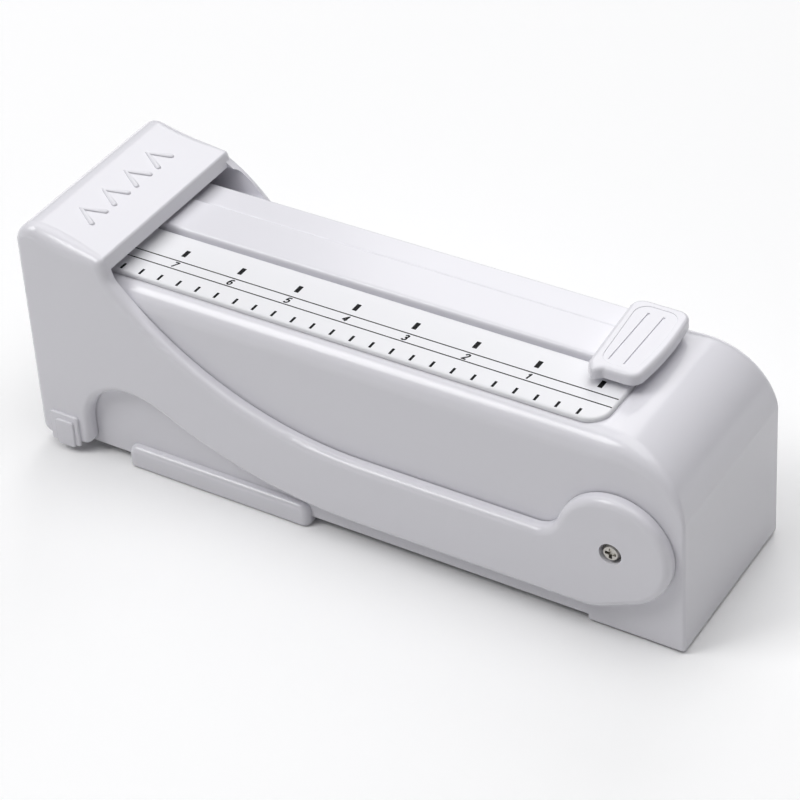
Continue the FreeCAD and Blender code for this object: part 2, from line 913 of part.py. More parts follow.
shoulder = rounded("shoulder_rounded", shoulder_block, shoulder_radii)
for side, sign in sides:
    lever_cuts.append(
        cylinder(
            f"pivot_hole_{side}",
            "y",
            "bush_radius + bush_fit",
            across(sign, f"lever_in - {past}", f"lever_out + {past}"),
            ("pivot_x", "pivot_height"),
        )
    )
    lever_cuts.append(
        cylinder(
            f"pivot_recess_{side}",
            "y",
            "recess_radius",
            across(sign, "recess_floor", f"lever_out + {past}"),
            ("pivot_x", "pivot_height"),
        )
    )
    lever_cuts.append(
        box(
            f"clip_window_{side}",
            ("clip_front", "clip_rear"),
            across(sign, f"lever_in - {past}", f"lever_out + {past}"),
            (f"leg_bottom - {past}", "clip_top"),
        )
    )
node(cut("lever_shape", join("lever_solid", lever_rounded, shoulder), *lever_cuts), "press_lever")

# Pivot screws with the bushes and washers that the lever turns on
axis_at = ("pivot_x", "pivot_height")


def ring(name, sign, radius, low, high):
    """Ring round a pivot screw, between two distances from the middle."""
    disc = cylinder(name + "_disc", "y", radius, across(sign, low, high), axis_at)
    bore_span = across(sign, f"{low} - {past}", f"{high} + {past}")
    bore = cylinder(name + "_bore", "y", "pivot_screw_radius + screw_fit", bore_span, axis_at)
    return cut(name, disc, bore)


for side, sign in sides:
    bush = ring(f"bush_{side}", sign, "bush_radius", "half", "bush_end")
    node(bush, f"pivot_bush_{side}")
    washer = ring(f"washer_{side}", sign, "washer_radius", "bush_end", "bush_end + washer_thickness")
    node(washer, f"pivot_washer_{side}")
    seat = f"{sign} * (bush_end + washer_thickness)"
    length = "bush_end + washer_thickness - inner_half + pivot_post_depth - screw_tip_gap"
    node(
        screw(
            f"pivot_screw_{side}_shape",
            "y",
            sign,
            seat,
            axis_at,
            ("pivot_head_radius", "pivot_head_height"),
            ("pivot_screw_radius", length),
        ),
        f"pivot_screw_{side}",
    )

# Cutting blade, bevelled along its lower edge, and the clips that hold its ends
blade = box(
    "blade_blank",
    ("blade_x", "blade_x + blade_thickness"),
    ("-blade_half", "blade_half"),
    ("blade_bottom", "blade_bottom + blade_height"),
)
blade_front, blade_low = num("blade_x"), num("blade_bottom")
bevel_low = blade_front + num("blade_thickness") - num("edge_land")
bevel_high = blade_low + num("edge_bevel")
bevel_path = [
    (blade_front - past, blade_low - past, 0),
    (bevel_low, blade_low - past, 0),
    (bevel_low, blade_low, 0),
    (blade_front, bevel_high, 0),
    (blade_front - past, bevel_high, 0),
]
bevel_edges = corner_path(side_plane(-num("blade_half") - past), bevel_path)
bevel = prism("blade_bevel", bevel_edges, Vector(0, 1, 0), f"(blade_half + {past}) * 2")
ends = [
    box(
        f"blade_end_{side}",
        (f"blade_x - {past}", f"blade_x + blade_thickness + {past}"),
        across(sign, "lever_in", f"blade_half + {past}"),
        (f"blade_bottom - {past}", "blade_bottom + edge_bevel"),
    )
    for side, sign in sides
]
node(cut("blade_shape", blade, bevel, *ends), "cutting_blade")


def clip_plate_path(inset, shift, low, corner_round, low_round):
    """Side view of a clip's plate or pad, set in from the clip's own corners."""
    front, rear = num("clip_front") + inset + shift, num("clip_rear") - inset + shift
    top = num("clip_top") - inset
    return [
        (front, low, low_round),
        (front, top, corner_round),
        (rear, top, corner_round),
        (rear, low, low_round),
    ]


def clip_slab(name, path, sign, low, thickness):
    """Plate drawn outwards from a distance on one side."""
    outline = corner_path(side_plane(sign * low), path)
    return prism(name, outline, Vector(0, sign, 0), thickness)


def clip_radii(edge):
    """Soften the outer rims of a clip's plate and of its pad."""
    middle = edge.CenterOfMass
    if edge.BoundBox.YLength > 1e-3:
        return None
    outer = num("lever_out") + num("clip_plate")
    if near(abs(middle.y), outer + num("clip_pad")):
        return num("clip_pad_round")
    inset = num("clip_pad_inset") - 1e-3
    before = middle.x < num("clip_front") + inset + num("clip_pad_shift")
    behind = middle.x > num("clip_rear") - inset + num("clip_pad_shift")
    above = middle.z > num("clip_top") - inset
    on_rim = near(abs(middle.y), outer) and (before or behind or above)
    return num("clip_plate_round") if on_rim and middle.z > num("leg_bottom") + 1e-3 else None


plate_path = clip_plate_path(-num("clip_rim"), 0, num("leg_bottom"), num("clip_plate_corner"), 0)
pad_corner = num("clip_pad_corner")
pad_low = num("leg_bottom") - num("clip_pad_drop")
pad_path = clip_plate_path(num("clip_pad_inset"), num("clip_pad_shift"), pad_low, pad_corner, pad_corner)
pad_start = num("lever_out") + num("clip_plate") / 2
for side, sign in sides:
    plug = box(
        f"clip_plug_{side}",
        ("clip_front + clip_fit", "clip_rear - clip_fit"),
        across(sign, "lever_in", "lever_out"),
        ("leg_bottom", "clip_top - clip_fit"),
    )
    plate = clip_slab(f"clip_plate_{side}", plate_path, sign, num("lever_out"), "clip_plate")
    pad = clip_slab(f"clip_pad_{side}", pad_path, sign, pad_start, "clip_plate / 2 + clip_pad")
    clip = join(f"clip_{side}", plug, plate, pad)
    clip_soft = rounded(f"clip_soft_{side}", clip, clip_radii)
    slit = box(
        f"clip_slit_{side}",
        ("blade_x", "blade_x + blade_thickness"),
        across(sign, f"lever_in - {past}", "blade_half"),
        ("blade_bottom + edge_bevel", "blade_bottom + blade_height"),
    )
    node(cut(f"clip_shape_{side}", clip_soft, slit), f"blade_clip_{side}")

# Thumb slider: grip plate with a pointer at its near front corner


def slider_path(inset, height):
    """Plan of the grip plate; the rear edge is left straight and is bulged later."""
    front, rear = num("slider_front") + inset, num("slider_rear") - inset
    near_side, far_side = -num("slider_near") + inset, num("slider_far") - inset
    bend, taper = num("slider_corner"), num("slider_taper")
    rear_corners = [(rear, near_side, 0), (rear, far_side, 0), (front, far_side, bend)]
    if inset:
        return corner_path(level_plane(height), [(front + taper, near_side, bend), *rear_corners])
    tip = front + taper + num("pointer_width") / 2
    soft = num("slider_edge_round") + num("pointer_softening")
    pointer = [
        (front + taper, near_side + num("pointer_reach") / 2, soft),
        (tip, near_side - num("pointer_reach"), soft),
        (tip + num("pointer_width") / 2, near_side, soft),
    ]
    return corner_path(level_plane(height), pointer + rear_corners)


def slider_slab(name, inset, low, thickness):
    """Plate of the slider's plan with its rear edge bulged and its rear corners rounded."""
    slab = prism(name + "_slab", slider_path(inset, num(low)), Vector(0, 0, 1), thickness)
    chord = num("slider_near") + num("slider_far")
    reach = (chord**2 / 4 + num("slider_bulge") ** 2) / (2 * num("slider_bulge"))
    disc = doc.addObject("Part::Cylinder", name + "_disc")
    disc.Radius = reach - inset
    disc.setExpression("Height", ex(thickness))
    disc.setExpression("Placement.Base.y", ex("(slider_far - slider_near) / 2"))
    disc.setExpression("Placement.Base.z", ex(low))
    disc.setExpression("Placement.Base.x", ex(f"slider_rear - {reach}"))
    bulged = doc.addObject("Part::Common", name + "_bulged")
    bulged.Base = slab
    bulged.Tool = disc

    def rear_corners(edge):
        upright = edge.BoundBox.ZLength > 1e-3 and edge.BoundBox.XLength < 1e-3
        sharp = near(edge.CenterOfMass.y, num("slider_far") - inset) or near(
            edge.CenterOfMass.y, inset - num("slider_near")
        )
        at_rear = edge.CenterOfMass.x > num("slider_rear") - num("slider_length") / 4 - inset
        return num("slider_corner") if upright and sharp and at_rear else None

    return rounded(name + "_plan", bulged, rear_corners)


grip_blank = slider_slab("slider_blank", 0, "slider_base", "slider_thickness")


def grip_radii(edge):
    on_top = near(edge.BoundBox.ZMin, num("slider_top"))
    return num("slider_edge_round") if on_top else None


grip = rounded("slider_grip", grip_blank, grip_radii)
heel_block = box(
    "slider_heel",
    ("slider_front + slider_taper", "slider_rear - slider_taper"),
    ("slot_far + slot_end_gap", "slider_far - slider_edge_round"),
    ("cover_top + slider_gap", "slider_base"),
)
dish = slider_slab("slider_dish", num("dish_inset"), "dish_floor", f"dish_depth + {past}")
dished = cut("slider_dished", grip, dish)


def dish_radii(edge):
    """Soften the dish's rim, which lies inside the grip's own rounded edge."""
    on_top = near(edge.BoundBox.ZMin, num("slider_top")) and near(edge.BoundBox.ZMax, num("slider_top"))
    box_of = edge.BoundBox
    low = num("slider_front") + num("dish_inset") - 1e-3
    high = num("slider_rear") - num("dish_inset") + 1e-3
    inside_x = box_of.XMin > low and box_of.XMax < high
    inside_y = box_of.YMin > num("dish_inset") - num("slider_near") - 1e-3
    inside_y = inside_y and box_of.YMax < num("slider_far") - num("dish_inset") + 1e-3
    return num("dish_rim_round") if on_top and inside_x and inside_y else None


grip_dished = rounded("slider_grip_dished", dished, dish_radii)
grooves = []
for number in range(round(num("groove_count"))):
    middle = f"slider_front + groove_front + groove_pitch * {number}"
    grooves.append(
        box(
            f"slider_groove_{number}",
            (f"{middle} - groove_width / 2", f"{middle} + groove_width / 2"),
            ("dish_inset + groove_near_inset - slider_near", "slider_far - dish_inset - groove_far_inset"),
            ("dish_floor - groove_depth", "slider_top"),
        )
    )
socket = box(
    "slider_socket",
    ("web_front", "web_rear"),
    ("web_near", "web_far"),
    (f"slider_base - {past}", "slider_base + web_socket"),
)
node(
    cut("slider_shape", join("slider_solid", grip_dished, heel_block), socket, *grooves),
    "thumb_slider",
)

# Pusher: carriage under the top, its arm, and the plate that bears on the butter
shoe = box(
    "carriage_shoe",
    ("shoe_front", "shoe_front + shoe_length"),
    ("-shoe_near", "shoe_far"),
    ("shoe_base", "shoe_top"),
)
web = box(
    "carriage_web",
    ("web_front", "web_rear"),
    ("web_near", "web_far"),
    (f"shoe_top - {bite}", "slider_base + web_socket"),
)
arm = box(
    "carriage_arm",
    ("arm_front", "arm_rear"),
    ("-arm_half_width", "arm_half_width"),
    ("channel_floor + 2 * pusher_gap", f"shoe_base + {bite}"),
)
ribs = []
for side, sign in sides:
    ribs.append(
        box(
            f"carriage_rib_{side}",
            (f"arm_rear - {bite}", "arm_rear + arm_thickness"),
            across(sign, "arm_half_width - rib_thickness", "arm_half_width"),
            ("channel_floor + 2 * pusher_gap", f"shoe_base + {bite}"),
        )
    )
screw_heights = ["channel_floor + plate_screw_rise", "channel_top - plate_screw_rise"]
arm_holes = [
    cylinder(
        f"arm_hole_{number}",
        "x",
        "plate_screw_radius + screw_fit",
        (f"arm_front - {past}", f"arm_rear + {past}"),
        ("0", height),
    )
    for number, height in enumerate(screw_heights)
]
node(cut("carriage_shape", join("carriage_solid", shoe, web, arm, *ribs), *arm_holes), "pusher_carriage")

plate_blank = box(
    "pusher_blank",
    ("shoe_front", "arm_front"),
    ("-pusher_half", "pusher_half"),
    ("channel_floor + pusher_gap", "channel_top - pusher_gap"),
)


def pusher_radii(edge):
    box_of = edge.BoundBox
    long_way = box_of.XLength > num("pusher_thickness") - 1e-3
    return num("pusher_thickness") if long_way else None


pusher = rounded("pusher_rounded", plate_blank, pusher_radii)
plate_holes = [
    cylinder(
        f"plate_hole_{number}",
        "x",
        "plate_screw_radius + screw_fit",
        ("shoe_front + plate_skin", f"arm_front + {past}"),
        ("0", height),
    )
    for number, height in enumerate(screw_heights)
]
node(cut("pusher_shape", pusher, *plate_holes), "pusher_plate")
plate_screws = [
    screw(
        f"plate_screw_{number}",
        "x",
        1,
        "arm_rear",
        ("0", height),
        ("plate_head_radius", "plate_head_height"),
        ("plate_screw_radius", "arm_thickness + pusher_thickness - plate_skin - screw_tip_gap"),
    )
    for number, height in enumerate(screw_heights)
]
node(group("plate_screw_pair", *plate_screws), "pusher_plate_screws")

# Butter tray: open channel with flanges that reach the housing walls
tray_span = ("mouth_x + tray_front_gap", "back_x - tray_end_inset")
inner_span = ("fit_gap - inner_half", "inner_half - fit_gap")
tray_blank = box("tray_blank", tray_span, ("-tray_half", "tray_half"), ("base_top", "channel_top"))
flange = box("tray_flange", tray_span, inner_span, ("channel_top - tray_wall", "channel_top"))
channel = box(
    "tray_channel",
    (f"mouth_x - {past}", "rear_x"),
    ("-channel_half", "channel_half"),
    ("channel_floor", f"channel_top + {past}"),
)
node(cut("tray_shape", join("tray_solid", tray_blank, flange), channel), "butter_tray")

# Base plate under the tray, with a thicker rear end that carries the rear pads
base = box("base_sheet", ("mouth_x + fit_gap", "base_rear"), inner_span, ("housing_floor", "base_top"))
base_heel = box(
    "base_heel",
    ("heel_front", "base_rear"),
    inner_span,
    ("rear_pad_height", f"housing_floor + {bite}"),
)
bore = "base_screw_radius + screw_fit"
head_room = "base_head_radius + fit_gap"
base_holes = []
base_screws = []
foot_holes = []
foot_screws = []
for side, sign in sides:
    spot = ("post_x", f"{sign} * base_post_offset")
    seat = "rear_pad_height + base_head_height"
    base_holes.append(cylinder(f"base_hole_{side}", "z", bore, ("0", f"base_top + {past}"), spot))
    base_holes.append(cylinder(f"base_recess_{side}", "z", head_room, ("0", seat), spot))
    base_screws.append(
        screw(
            f"base_screw_{side}",
            "z",
            -1,
            seat,
            spot,
            ("base_head_radius", "base_head_height"),
            ("base_screw_radius", f"{post_pilot_end} - screw_tip_gap - ({seat})"),
        )
    )
    spot = (f"foot_mid + {sign} * foot_screw_spacing / 2", "0")
    seat = "foot_clearance + base_head_height"
    pilot_end = "base_top - foot_pilot_cover"
    base_holes.append(cylinder(f"foot_pilot_{side}", "z", bore, (f"housing_floor - {past}", pilot_end), spot))
    foot_holes.append(cylinder(f"foot_hole_{side}", "z", bore, ("0", f"housing_floor + {past}"), spot))
    foot_holes.append(cylinder(f"foot_recess_{side}", "z", head_room, (f"-{past}", seat), spot))
    foot_screws.append(
        screw(
            f"foot_screw_{side}",
            "z",
            -1,
            seat,
            spot,
            ("base_head_radius", "base_head_height"),
            ("base_screw_radius", f"{pilot_end} - screw_tip_gap - ({seat})"),
        )
    )
node(cut("base_shape", join("base_solid", base, base_heel), *base_holes), "base_plate")
node(group("base_screw_pair", *base_screws), "base_screws")
node(group("foot_screw_pair", *foot_screws), "front_foot_screws")

# Front foot bar: plate under the housing with a lip up each side
foot_span = ("foot_front", "foot_rear")
foot_plate = box(
    "foot_plate",
    foot_span,
    ("-half - foot_lip", "half + foot_lip"),
    ("foot_clearance", "housing_floor"),
)
foot_end = num("foot_end_round")
lip_path = [
    (num("foot_front"), num("foot_clearance"), 0),
    (num("foot_front"), num("foot_lip_height"), foot_end),
    (num("foot_rear"), num("foot_lip_height"), foot_end),
    (num("foot_rear"), num("foot_clearance"), 0),
]
foot_lips = []
for side, sign in sides:
    lip_edges = corner_path(side_plane(sign * num("half")), lip_path)
    foot_lips.append(prism(f"foot_lip_{side}", lip_edges, Vector(0, sign, 0), "foot_lip"))
foot_blank = join("foot_blank", foot_plate, *foot_lips)


def foot_radii(edge):
    """Soften the outer rims of both lips, along the top and at the ends."""
    middle = edge.CenterOfMass
    box_of = edge.BoundBox
    on_outer_face = near(abs(middle.y), num("half") + num("foot_lip"))
    return num("foot_lip_round") if on_outer_face and box_of.ZMax > num("foot_clearance") + 1e-3 else None


foot = rounded("foot_rounded", foot_blank, foot_radii)
pad_spots = [
    (
        ("foot_front + foot_pad_inset", "foot_rear - foot_pad_inset"),
        across(sign, "half - foot_pad_width", "half"),
    )
    for side, sign in sides
]
pad_rooms = [
    box(f"foot_pad_room_{number}", x, y, ("0", "foot_clearance + foot_pad_recess"))
    for number, (x, y) in enumerate(pad_spots)
]
node(cut("foot_shape", foot, *foot_holes, *pad_rooms), "front_foot")
foot_pads = [
    box(f"foot_pad_{number}", x, y, ("0", "foot_clearance + foot_pad_recess"))
    for number, (x, y) in enumerate(pad_spots)
]
node(group("foot_pad_pair", *foot_pads), "front_foot_pads")
rear_pads = [
    box(
        f"rear_pad_{side}",
        ("rear_pad_front", "rear_pad_front + rear_pad_length"),
        across(sign, "inner_half - rear_pad_width - housing_wall", "inner_half - housing_wall"),
        ("0", "rear_pad_height"),
    )
    for side, sign in sides
]
node(group("rear_pad_pair", *rear_pads), "rear_foot_pads")

# Check every object, then write one file for each piece
doc.recompute()
failed = [item.Name for item in doc.Objects if {"Invalid", "Error"} & set(item.State)]
if failed:
    raise RuntimeError("failed objects: " + ", ".join(failed))
for item in nodes:
    if item.Shape.isNull() or not item.Shape.isValid():
        raise RuntimeError("bad shape: " + item.Label)
os.makedirs("parts", exist_ok=True)
for item in nodes:
    item.Shape.exportStep(f"parts/{item.Label}.step")
    print(item.Label, len(item.Shape.Solids), round(item.Shape.Volume, 1))
whole = FreeCAD.BoundBox()
for item in nodes:
    whole.add(item.Shape.BoundBox)
print("box", whole)
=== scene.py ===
import bpy
import bmesh
import math
from mathutils import Matrix, Vector


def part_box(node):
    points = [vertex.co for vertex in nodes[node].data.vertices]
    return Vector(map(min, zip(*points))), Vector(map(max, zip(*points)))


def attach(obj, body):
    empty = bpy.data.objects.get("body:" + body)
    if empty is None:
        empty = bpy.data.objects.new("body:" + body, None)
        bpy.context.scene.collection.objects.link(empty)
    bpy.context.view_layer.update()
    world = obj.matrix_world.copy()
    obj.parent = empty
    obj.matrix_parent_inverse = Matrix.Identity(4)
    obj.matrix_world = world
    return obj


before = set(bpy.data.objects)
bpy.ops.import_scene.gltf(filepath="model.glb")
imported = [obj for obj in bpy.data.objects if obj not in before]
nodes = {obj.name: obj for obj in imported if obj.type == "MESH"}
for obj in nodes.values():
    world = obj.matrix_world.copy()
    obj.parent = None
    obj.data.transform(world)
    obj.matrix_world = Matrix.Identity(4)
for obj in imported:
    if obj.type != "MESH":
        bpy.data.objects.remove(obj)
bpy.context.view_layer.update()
mm = 0.001
print("frame loaded:", len(nodes), "CAD nodes")


# node helpers

def addNode(tree, kind, **values):
    made = tree.nodes.new(kind)
    for name, value in values.items():
        setattr(made, name, value)
    return made


def link(tree, fromSocket, toSocket):
    tree.links.new(fromSocket, toSocket)


def groupSockets(tree, inputs, outputs):
    for name, kind, default in inputs:
        socket = tree.interface.new_socket(name=name, in_out="INPUT", socket_type=kind)
        if default is not None:
            socket.default_value = default
    for name, kind in outputs:
        tree.interface.new_socket(name=name, in_out="OUTPUT", socket_type=kind)


def mathNode(tree, operation, first, second=None):
    made = addNode(tree, "ShaderNodeMath", operation=operation)
    for index, value in enumerate((first, second)):
        if value is None:
            continue
        if isinstance(value, (int, float)):
            made.inputs[index].default_value = value
        else:
            link(tree, value, made.inputs[index])
    return made.outputs[0]


# shared surface effects

effectOutputs = [
    ("Colour", "NodeSocketColor"),
    ("Roughness", "NodeSocketFloat"),
    ("Height", "NodeSocketFloat"),
]


def toneAndGloss(tree, inside, outside, pattern, tones):
    # colour and roughness that follow one pattern
    tint = addNode(tree, "ShaderNodeMix", data_type="RGBA")
    link(tree, pattern, tint.inputs["Factor"])
    link(tree, inside.outputs[tones[0]], tint.inputs["A"])
    link(tree, inside.outputs[tones[1]], tint.inputs["B"])
    gloss = addNode(tree, "ShaderNodeMapRange")
    link(tree, pattern, gloss.inputs["Value"])
    link(tree, inside.outputs["Gloss Low"], gloss.inputs["To Min"])
    link(tree, inside.outputs["Gloss High"], gloss.inputs["To Max"])
    link(tree, tint.outputs["Result"], outside.inputs["Colour"])
    link(tree, gloss.outputs["Result"], outside.inputs["Roughness"])


def makeMouldedSkin():
    # slow drift of tone and gloss, with the faint ripple that a polished mould leaves
    tree = bpy.data.node_groups.new("mouldedSkin", "ShaderNodeTree")
    groupSockets(
        tree,
        [
            ("Colour", "NodeSocketColor", (0.8, 0.8, 0.8, 1)),
            ("Drift Colour", "NodeSocketColor", (0.7, 0.7, 0.7, 1)),
            ("Drift Size", "NodeSocketFloat", 40.0),
            ("Ripple Size", "NodeSocketFloat", 900.0),
            ("Grain Size", "NodeSocketFloat", 5000.0),
            ("Grain Share", "NodeSocketFloat", 0.3),
            ("Gloss Low", "NodeSocketFloat", 0.25),
            ("Gloss High", "NodeSocketFloat", 0.35),
        ],
        effectOutputs,
    )
    inside = addNode(tree, "NodeGroupInput")
    outside = addNode(tree, "NodeGroupOutput")
    place = addNode(tree, "ShaderNodeTexCoord")
    noises = {}
    for size, detail in (("Drift Size", 1), ("Ripple Size", 1), ("Grain Size", 2)):
        noise = addNode(tree, "ShaderNodeTexNoise")
        noise.inputs["Detail"].default_value = detail
        link(tree, place.outputs["Object"], noise.inputs["Vector"])
        link(tree, inside.outputs[size], noise.inputs["Scale"])
        noises[size] = noise.outputs["Fac"]
    toneAndGloss(tree, inside, outside, noises["Drift Size"], ("Colour", "Drift Colour"))
    fine = mathNode(tree, "MULTIPLY", noises["Grain Size"], inside.outputs["Grain Share"])
    link(tree, mathNode(tree, "ADD", noises["Ripple Size"], fine), outside.inputs["Height"])
    return tree


def makeBrushedMetal():
    # fine streaks along one axis, for the blade and the turned screw heads
    tree = bpy.data.node_groups.new("brushedMetal", "ShaderNodeTree")
    groupSockets(
        tree,
        [
            ("Bright", "NodeSocketColor", (0.8, 0.8, 0.8, 1)),
            ("Dull", "NodeSocketColor", (0.5, 0.5, 0.5, 1)),
            ("Streaks", "NodeSocketVector", (2000.0, 60.0, 2000.0)),
            ("Gloss Low", "NodeSocketFloat", 0.2),
            ("Gloss High", "NodeSocketFloat", 0.4),
        ],
        effectOutputs,
    )
    inside = addNode(tree, "NodeGroupInput")
    outside = addNode(tree, "NodeGroupOutput")
    place = addNode(tree, "ShaderNodeTexCoord")
    stretch = addNode(tree, "ShaderNodeMapping")
    link(tree, place.outputs["Object"], stretch.inputs["Vector"])
    link(tree, inside.outputs["Streaks"], stretch.inputs["Scale"])
    streak = addNode(tree, "ShaderNodeTexNoise")
    streak.inputs["Scale"].default_value = 1
    streak.inputs["Detail"].default_value = 4
    link(tree, stretch.outputs["Vector"], streak.inputs["Vector"])
    toneAndGloss(tree, inside, outside, streak.outputs["Fac"], ("Bright", "Dull"))
    link(tree, streak.outputs["Fac"], outside.inputs["Height"])
    return tree


skinGroup = makeMouldedSkin()
metalGroup = makeBrushedMetal()


def makeMaterial(name, group, values, bumpStrength, bumpHeight, plain):
    material = bpy.data.materials.new(name)
    material.use_nodes = True
    tree = material.node_tree
    shader = tree.nodes["Principled BSDF"]
    for socket, value in plain.items():
        shader.inputs[socket].default_value = value
    effect = addNode(tree, "ShaderNodeGroup", node_tree=group)
    for socket, value in values.items():
        effect.inputs[socket].default_value = value
    bump = addNode(tree, "ShaderNodeBump")
    bump.inputs["Strength"].default_value = bumpStrength
    bump.inputs["Distance"].default_value = bumpHeight
    link(tree, effect.outputs["Colour"], shader.inputs["Base Color"])
    link(tree, effect.outputs["Roughness"], shader.inputs["Roughness"])
    link(tree, effect.outputs["Height"], bump.inputs["Height"])
    link(tree, bump.outputs["Normal"], shader.inputs["Normal"])
    return material


def makePlastic(name, look):
    values = {
        "Colour": (*look["colour"], 1),
        "Drift Colour": (*look["driftColour"], 1),
        "Drift Size": look["driftSize"],
        "Ripple Size": look["rippleSize"],
        "Grain Size": look["grainSize"],
        "Grain Share": look["grainShare"],
        "Gloss Low": look["roughness"][0],
        "Gloss High": look["roughness"][1],
    }
    plain = {"IOR": look["ior"], "Specular IOR Level": look["sheen"]}
    return makeMaterial(name, skinGroup, values, look["bump"], look["bumpHeight"], plain)


def makeMetal(name, look):
    values = {
        "Bright": (*look["bright"], 1),
        "Dull": (*look["dull"], 1),
        "Streaks": look["streaks"],
        "Gloss Low": look["roughness"][0],
        "Gloss High": look["roughness"][1],
    }
    return makeMaterial(name, metalGroup, values, look["bump"], look["bumpHeight"], {"Metallic": 1.0})


plasticLooks = {
    "glossWhite": {
        "colour": (0.832, 0.824, 0.868), "driftColour": (0.822, 0.814, 0.86), "driftSize": 26,
        "rippleSize": 900, "grainSize": 4200, "grainShare": 0.3,
        "roughness": (0.16, 0.22), "bump": 0.12, "bumpHeight": 0.00001, "ior": 1.5, "sheen": 0.5,
    },
    "printFilm": {
        "colour": (0.885, 0.885, 0.91), "driftColour": (0.875, 0.875, 0.90), "driftSize": 40,
        "rippleSize": 700, "grainSize": 6500, "grainShare": 0.2,
        "roughness": (0.30, 0.38), "bump": 0.15, "bumpHeight": 0.00001, "ior": 1.46, "sheen": 0.5,
    },
    "innerWhite": {
        "colour": (0.74, 0.74, 0.74), "driftColour": (0.70, 0.70, 0.71), "driftSize": 45,
        "rippleSize": 800, "grainSize": 5200, "grainShare": 0.9,
        "roughness": (0.42, 0.55), "bump": 0.3, "bumpHeight": 0.00003, "ior": 1.5, "sheen": 0.5,
    },
    "bushCream": {
        "colour": (0.72, 0.69, 0.60), "driftColour": (0.66, 0.62, 0.52), "driftSize": 220,
        "rippleSize": 1500, "grainSize": 9000, "grainShare": 0.5,
        "roughness": (0.36, 0.46), "bump": 0.25, "bumpHeight": 0.00002, "ior": 1.48, "sheen": 0.5,
    },
    "padRubber": {
        "colour": (0.055, 0.055, 0.058), "driftColour": (0.10, 0.10, 0.105), "driftSize": 600,
        "rippleSize": 1800, "grainSize": 9000, "grainShare": 1.2,
        "roughness": (0.7, 0.88), "bump": 0.5, "bumpHeight": 0.0001, "ior": 1.45, "sheen": 0.5,
    },
    "blackInk": {
        "colour": (0.008, 0.008, 0.009), "driftColour": (0.014, 0.014, 0.015), "driftSize": 900,
        "rippleSize": 2600, "grainSize": 12000, "grainShare": 0.6,
        "roughness": (0.5, 0.62), "bump": 0.15, "bumpHeight": 0.00001, "ior": 1.45, "sheen": 0.15,
    },
}
metalLooks = {
    "brushedSteel": {
        "bright": (0.72, 0.73, 0.74), "dull": (0.52, 0.53, 0.55), "streaks": (900, 40, 2600),
        "roughness": (0.18, 0.34), "bump": 0.2, "bumpHeight": 0.00002,
    },
    "nickelScrew": {
        "bright": (0.60, 0.58, 0.54), "dull": (0.38, 0.365, 0.34), "streaks": (1500, 1500, 1500),
        "roughness": (0.22, 0.38), "bump": 0.2, "bumpHeight": 0.00002,
    },
    # near-black washer metal: painted shade standing in for the shadow in the ring of the screw recess
    "washerPaintedShade": {
        "bright": (0.13, 0.125, 0.12), "dull": (0.06, 0.058, 0.055), "streaks": (1500, 1500, 1500),
        "roughness": (0.35, 0.5), "bump": 0.2, "bumpHeight": 0.00002,
    },
}
plastics = {name: makePlastic(name, look) for name, look in plasticLooks.items()}
metals = {name: makeMetal(name, look) for name, look in metalLooks.items()}
finishes = {**plastics, **metals}

finishOfSlot = {
    "white_plastic": "glossWhite",
    "printed_plastic": "printFilm",
    "inner_plastic": "innerWhite",
    "bush_plastic": "bushCream",
    "blade_steel": "brushedSteel",
    "screw_steel": "nickelScrew",
    "pad_rubber": "padRubber",
}
# the pivot washers take the near-black metal, painted shade for the shadowed ring in the screw recess
finishOfNode = {"pivot_washer_left": "washerPaintedShade", "pivot_washer_right": "washerPaintedShade"}
for name, node in nodes.items():
    for slot in node.material_slots:
        slot.material = finishes[finishOfNode.get(name, finishOfSlot[slot.material.name])]
print("finishes set:", ", ".join(sorted(finishes)))


# Geometry Nodes row: copies of one shape along a line, in one material

def makeRowTree():
    tree = bpy.data.node_groups.new("copiesInRow", "GeometryNodeTree")
    groupSockets(
        tree,
        [
            ("Shape", "NodeSocketObject", None),
            ("Count", "NodeSocketInt", 8),
            ("First", "NodeSocketVector", (0, 0, 0)),
            ("Step", "NodeSocketVector", (0.01, 0, 0)),
            ("Finish", "NodeSocketMaterial", None),
        ],
        [("Geometry", "NodeSocketGeometry")],
    )
    inside = addNode(tree, "NodeGroupInput")
    outside = addNode(tree, "NodeGroupOutput")
    row = addNode(tree, "GeometryNodeMeshLine", mode="OFFSET")
    shape = addNode(tree, "GeometryNodeObjectInfo")
    copies = addNode(tree, "GeometryNodeInstanceOnPoints")
    real = addNode(tree, "GeometryNodeRealizeInstances")
    finish = addNode(tree, "GeometryNodeSetMaterial")
    link(tree, inside.outputs["Shape"], shape.inputs["Object"])
    link(tree, inside.outputs["Count"], row.inputs["Count"])
    link(tree, inside.outputs["First"], row.inputs["Start Location"])
    link(tree, inside.outputs["Step"], row.inputs["Offset"])
    link(tree, row.outputs["Mesh"], copies.inputs["Points"])
    link(tree, shape.outputs["Geometry"], copies.inputs["Instance"])
    link(tree, copies.outputs["Instances"], real.inputs["Geometry"])
    link(tree, real.outputs["Geometry"], finish.inputs["Geometry"])
    link(tree, inside.outputs["Finish"], finish.inputs["Material"])
    link(tree, finish.outputs["Geometry"], outside.inputs["Geometry"])
    return tree


rowTree = makeRowTree()


def meshObject(name, mesh):
    made = bpy.data.objects.new(name, mesh)
    bpy.context.scene.collection.objects.link(made)
    return made


def evaluatedMesh(source):
    bpy.context.view_layer.update()
    graph = bpy.context.evaluated_depsgraph_get()
    return bpy.data.meshes.new_from_object(source.evaluated_get(graph))


def copiesInRow(name, shape, count, first, step, finish):
    holder = meshObject(name, bpy.data.meshes.new(name))
    modifier = holder.modifiers.new("row", "NODES")
    modifier.node_group = rowTree
    values = {"Shape": shape, "Count": count, "First": first, "Step": step, "Finish": finish}
    for item in rowTree.interface.items_tree:
        if item.in_out == "INPUT":
            modifier[item.identifier] = values[item.name]
    holder.data = evaluatedMesh(holder)
    holder.modifiers.clear()
    bpy.data.objects.remove(shape)
    return holder


blockRoundSteps = 4


